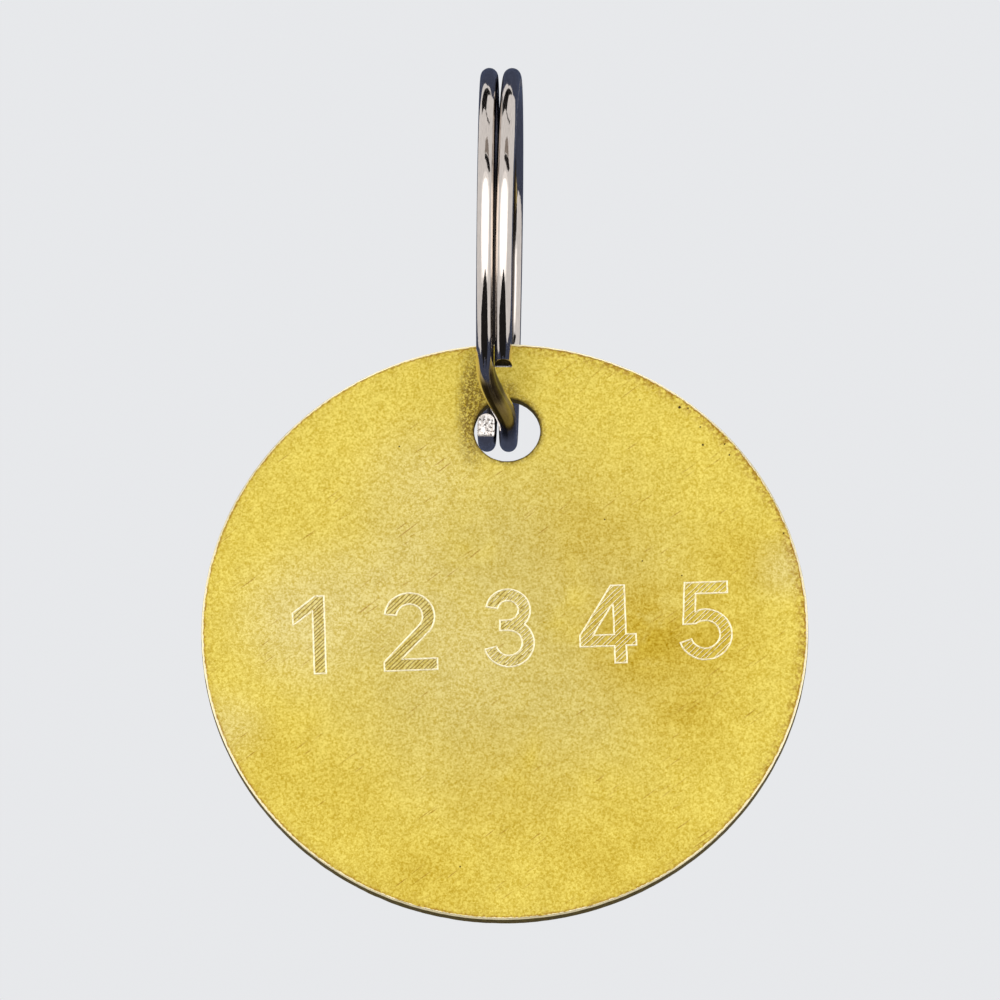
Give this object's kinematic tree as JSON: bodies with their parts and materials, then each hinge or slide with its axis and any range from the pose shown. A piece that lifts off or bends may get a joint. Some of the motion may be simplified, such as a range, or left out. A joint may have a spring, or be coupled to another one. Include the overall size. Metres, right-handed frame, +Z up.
{
  "type": "pet identity tag",
  "caption": "Round sheet brass pet tag, pierced near its rim, that hangs on a split ring of flattened wire and swings round it; the ring carries it on a collar.",
  "frame": {"origin": "top of the split ring's inside, midway between its two turns, where the ring sits on a collar's ring", "axes": "+Z up with the tag hanging, -Y out of the disc's marked face, +X to the right of someone who looks at that face; the split ring's axis lies along X"},
  "size_m": [0.032, 0.0204, 0.047],
  "materials": {
    "brass": "tumbled satin sheet brass, lightly tarnished, with a bright worn rim",
    "nickel": "bright nickel plating on spring steel wire"
  },
  "bodies": {
    "ring": {"split_ring": "nickel"},
    "disc": {"tag_disc": "brass"}
  },
  "joints": [
    {"name": "tag_swing", "type": "hinge", "parent": "ring", "child": "disc", "pos_m": [0, 0, -0.0087], "axis": [1, 0, 0], "continuous": true}
  ]
}
